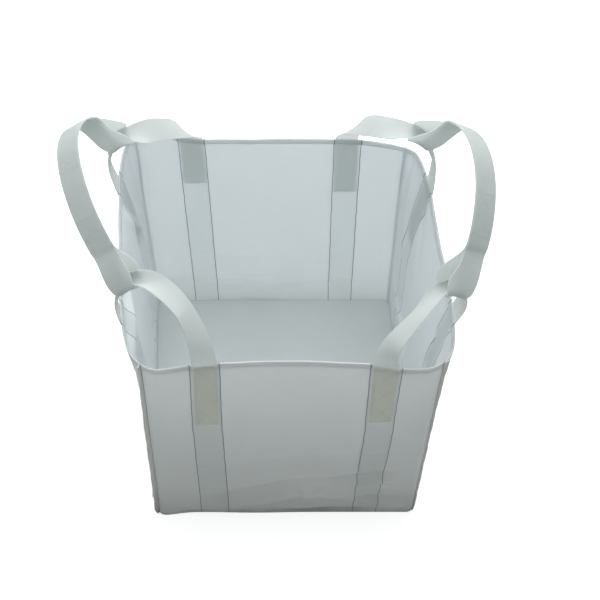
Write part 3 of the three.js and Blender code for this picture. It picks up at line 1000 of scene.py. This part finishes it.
def webbing_places(grid, widths, mouth_rows):
    """Coordinates across the webbing, and along it: negative on the legs, positive above the mouth."""
    lengths = row_lengths(grid)
    low, high = lengths[mouth_rows[0]], lengths[mouth_rows[1]]
    along = np.minimum(lengths - low, high - lengths)
    return np.stack(np.broadcast_arrays(widths[None, :], along[:, None]), axis=-1)


def eased(grid, first, last, rounds=160):
    """Takes kinks out of the rows from first to last, most in the middle of them."""
    index = np.arange(len(grid))
    share = np.clip((index - first) / (last - first), 0, 1)
    strength = (0.5 * np.sin(math.pi * share) ** 0.5)[:, None, None]
    for _ in range(rounds):
        between = grid.copy()
        between[1:-1] = (grid[:-2] + grid[2:]) / 2
        grid = grid + strength * (between - grid)
    return grid


def matched(row, other):
    """The row, turned round if that brings its ends nearer to those of the other."""
    same = np.linalg.norm(row - other)
    turned = np.linalg.norm(row[::-1] - other)
    return row if same <= turned else row[::-1]


def loop_grid(loop, widths, end_centre, flank_centre):
    """Fine rows of a whole loop, and the numbers of the two that are at the mouth."""
    leg_top = HEIGHT - LEG_MARGIN
    end_heights = np.linspace(HEIGHT - loop["end_leg"], leg_top, LEG_ROWS)
    flank_heights = np.linspace(leg_top, HEIGHT - loop["flank_leg"], LEG_ROWS)
    arch_rows = [loop_row(loop, share, widths) for share in np.linspace(0, 1, ARCH_ROWS)]
    end_rows = leg_rows(loop["end"], end_centre, widths, end_heights)
    flank_rows = leg_rows(loop["flank"], flank_centre, widths, flank_heights)
    end_rows = [matched(row, arch_rows[0]) for row in end_rows]
    flank_rows = [matched(row, arch_rows[-1]) for row in flank_rows]
    grid = fine_rows(end_rows + arch_rows + flank_rows, ROW_STEPS)
    up, down = (LEG_ROWS - 1) * ROW_STEPS, (LEG_ROWS + ARCH_ROWS) * ROW_STEPS
    grid = eased(grid, up + 1, up + EASED_ROWS * ROW_STEPS)
    grid = eased(grid, down - EASED_ROWS * ROW_STEPS, down - 1)
    return grid, (up, down)


def lifting_loop(name, loop):
    """One length of webbing: up the end panel, across the corner and down the side panel."""
    columns = 13
    widths = np.linspace(-0.5, 0.5, columns) * WEBBING
    end_centre, flank_centre = -loop["hand"] * LEG_CENTRE, loop["hand"] * LEG_CENTRE
    grid, mouth_rows = loop_grid(loop, widths, end_centre, flank_centre)
    places = webbing_places(grid, widths, mouth_rows)
    body = f"{name}_loop"
    made = shell(body, grid, WEBBING_THICKNESS, places, [WEBBING_FINISH])
    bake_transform(made)
    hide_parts(f"{name}_loop_end_leg", f"{name}_loop_side_leg", f"{name}_loop_arch")
    leg_sewing(f"{name}_end_leg_stitching", loop["end"], end_centre, loop["end_leg"])
    leg_sewing(f"{name}_side_leg_stitching", loop["flank"], flank_centre, loop["flank_leg"])


def box_of_stitches(wide, long, rungs):
    """Flat places and directions of the stitches of a box with crosses in it, its top at 0."""
    runs = [((-wide / 2, 0), (wide / 2, 0)), ((wide / 2, 0), (wide / 2, -long))]
    runs += [((wide / 2, -long), (-wide / 2, -long)), ((-wide / 2, -long), (-wide / 2, 0))]
    for rung in range(rungs):
        top, bottom = -long * rung / rungs, -long * (rung + 1) / rungs
        left, right = -wide / 2, wide / 2
        runs += [((left, top), (right, bottom)), ((right, top), (left, bottom))]
    places, ways = [], []
    for start, end in runs:
        start, end = np.array(start), np.array(end)
        length = np.linalg.norm(end - start)
        count = max(2, int(length / STITCH_PITCH))
        for i in range(count):
            places.append(start + (end - start) * (i + 0.5) / count)
            ways.append((end - start) / length)
    return np.array(places), np.array(ways)


def leg_sewing(name, side, centre, length):
    flat, ways = box_of_stitches(WEBBING - 2 * SEWING_MARGIN, length - 0.022, 3)
    out = LEG_GAP + WEBBING_THICKNESS
    here, run, rise, stand = along_surface(side, centre + flat[:, 0], out, HEIGHT - 0.010 + flat[:, 1])
    directions = run * ways[:, :1] + rise * ways[:, 1:]
    made = stitches(name, here, directions, stand, THREAD)
    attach(made, "bag")
    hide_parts(name)


for name, loop in LOOPS.items():
    lifting_loop(name, loop)

# ------------------------------------------------------------------ carrying straps

# `lean` is in degrees, and `lap` is where the slings meet, as a share of the arch from front to back.
STRAPS = {
    "left": {"outward": -1, "lean": 31, "height": 0.264, "lap": 0.50},
    "right": {"outward": 1, "lean": 34, "height": 0.229, "lap": 0.38},
}
for side, values in STRAPS.items():
    values["front"], values["back"] = f"front_{side}", f"back_{side}"

STRAP_SEWING = 0.060
LAP_SEWING = 0.050
SEWING_AFTER_SPLIT = 0.042


def strap_plane(strap):
    """A strap's plane: the middle between its eyes, the ways along, up and across, and half its reach."""
    loops = [LOOPS[strap[end]] for end in ("front", "back")]
    front, back = (loop_frame(loop, loop["eye_at"])[0] for loop in loops)
    run = back - front
    reach = np.linalg.norm(run) / 2
    run = run / (2 * reach)
    lean = math.radians(strap["lean"])
    up = np.array([strap["outward"] * math.sin(lean), 0.0, math.cos(lean)])
    up = normalised(up - run * (up @ run))
    return (front + back) / 2, run, up, np.cross(run, up), reach


def arch_point(strap, reach, angle):
    """A flat point of a strap's arch, which is higher towards the back."""
    rise = strap["height"] * (1 - BACK_RISE * np.cos(angle))
    return np.stack([-reach * np.cos(angle), rise * np.sin(angle)], axis=-1)


def arch_way(strap, reach, angle):
    return normalised(arch_point(strap, reach, angle + 0.001) - arch_point(strap, reach, angle - 0.001))


def arch_line(strap, reach, start, end, offset):
    """Flat points of a strap's arch between two angles, `offset` outside its middle line."""
    angles = np.linspace(start, end, max(6, int(abs(end - start) / 0.06)))
    tangents = arch_way(strap, reach, angles)
    outward = np.column_stack([-tangents[:, 1], tangents[:, 0]])
    return arch_point(strap, reach, angles) + outward * offset


def eye_line(split, cup):
    """Flat points of an eye: down one side of the loop's webbing, round under it and up the other."""
    radius = LOOP_CUP_RADIUS + WEBBING_THICKNESS / 2 + EYE_CLEARANCE + PLY_THICKNESS / 2
    down = cup - split
    length = np.linalg.norm(down)
    down = down / length
    aside = np.array([down[1], -down[0]])
    spread = (PLY_THICKNESS + PLY_GAP) / 2
    half = [(0.14, 0.09), (0.3, 0.35), (0.48, 0.62), (0.65, 0.82), (0.83, 0.95), (1, 1)]
    halves = [(along * length, max(spread, share * radius)) for along, share in half]
    for angle in np.linspace(0, math.pi / 2, 6)[1:]:
        halves.append((length + radius * math.sin(angle), radius * math.cos(angle)))
    first = [split + down * along + aside * away for along, away in halves]
    second = [split + down * along - aside * away for along, away in halves[-2::-1]]
    return np.array(first + second)


def sling_point(strap, plane, end, point, width):
    """A flat point to space. The eye turns with the loop's webbing where it holds it."""
    middle, run, up, across, reach = plane
    loop = LOOPS[strap[end]]
    way = -1 if end == "front" else 1
    flat = middle + run * point[0] + up * point[1] + across * width
    share = float(smoothstep(point[1], *EYE_TURN))
    if share >= 1 or point[0] * way < 0:
        return flat
    _, tangent, loop_across, _ = loop_frame(loop, loop["eye_at"])
    width_way = math.copysign(1, tangent @ across)
    run_way = math.copysign(1, loop_across @ run)
    held_at = loop["eye_at"] + width_way * width / loop["length"]
    centre, _, held_across, held_normal = loop_frame(loop, held_at)
    held = centre + held_normal * point[1] + held_across * run_way * (point[0] - way * reach)
    return held + (flat - held) * share


def sling_line(strap, reach, end):
    """Flat points of a sling's middle line, from the lap down, round the loop and up again."""
    way = -1 if end == "front" else 1
    near = split_angle(strap, end)
    cup = np.array([way * reach, LOOP_CUP_RADIUS])
    lap = math.pi * strap["lap"]
    offset = way * (PLY_THICKNESS + PLY_GAP) / 2
    return np.concatenate([
        arch_line(strap, reach, lap, near, -offset),
        eye_line(arch_point(strap, reach, near), cup),
        arch_line(strap, reach, near, lap, offset),
    ])


def split_angle(strap, end):
    """The angle of the arch at which a strap's plies part round the loop's webbing."""
    eye_top = math.asin(EYE_LENGTH / strap["height"])
    return eye_top if end == "front" else math.pi - eye_top


def sling(side, strap, plane, end):
    """Half of a strap: from the lap at the top down to a loop, round its webbing and back up."""
    widths = np.linspace(-0.5, 0.5, 9) * WEBBING
    line = sling_line(strap, plane[4], end)
    rows = [[sling_point(strap, plane, end, point, width) for width in widths] for point in line]
    grid = fine_rows(np.array(rows), 3)
    lengths = row_lengths(grid)
    places = np.stack(np.broadcast_arrays(widths[None, :], 0.05 + lengths[:, None]), axis=-1)
    made = shell(f"{side}_strap_{end}_sling", grid, PLY_THICKNESS, places, [STRAP_FINISH])
    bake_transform(made)
    replaced = [f"{side}_strap_{end}_eye"]
    if end == "front":
        replaced += [f"{side}_strap_outer_ply", f"{side}_strap_inner_ply"]
    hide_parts(*replaced)


def strap_sewing(name, strap, plane, middle_angle, length):
    """A box of stitches through both plies, on the outer and on the inner one."""
    middle, run, up, across, reach = plane
    flat, ways = box_of_stitches(WEBBING - 2 * SEWING_MARGIN, length, 1)
    centres, runs, normals = [], [], []
    start, stop = (arch_point(strap, reach, middle_angle + turn) for turn in (-0.5, 0.5))
    pace = np.linalg.norm(stop - start)
    for place, way in zip(flat, ways):
        angle = middle_angle + (place[1] + length / 2) / pace
        tangent = arch_way(strap, reach, angle)
        point = arch_point(strap, reach, angle)
        out = np.array([-tangent[1], tangent[0]])
        for face in (-1, 1):
            spot = point + out * face * (PLY_THICKNESS + PLY_GAP / 2)
            centres.append(middle + run * spot[0] + up * spot[1] + across * place[0])
            runs.append((run * tangent[0] + up * tangent[1]) * way[1] + across * way[0])
            normals.append((run * out[0] + up * out[1]) * face)
    made = stitches(name, centres, runs, normals, THREAD)
    return made


def carrying_strap(side, strap):
    """Both slings of a strap with the stitching beside each eye and through the lap."""
    plane = strap_plane(strap)
    reach = plane[4]
    for end in ("front", "back"):
        sling(side, strap, plane, end)
    ply_end = split_angle(strap, "front") + 2 * SPLIT_GAP / (strap["height"] + reach)
    pace = (strap["height"] + reach) / 2
    angle = ply_end + SEWING_AFTER_SPLIT / pace
    for end, angle in (("front", angle), ("back", math.pi - angle)):
        sewing = strap_sewing(f"{side}_strap_{end}_stitching", strap, plane, angle, STRAP_SEWING)
        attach(sewing, f"{side}_strap")
        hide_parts(f"{side}_strap_{end}_stitching")
    lap = strap_sewing(f"{side}_strap_lap_sewing", strap, plane, math.pi * strap["lap"], LAP_SEWING)
    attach(lap, f"{side}_strap")


for side, values in STRAPS.items():
    carrying_strap(side, values)
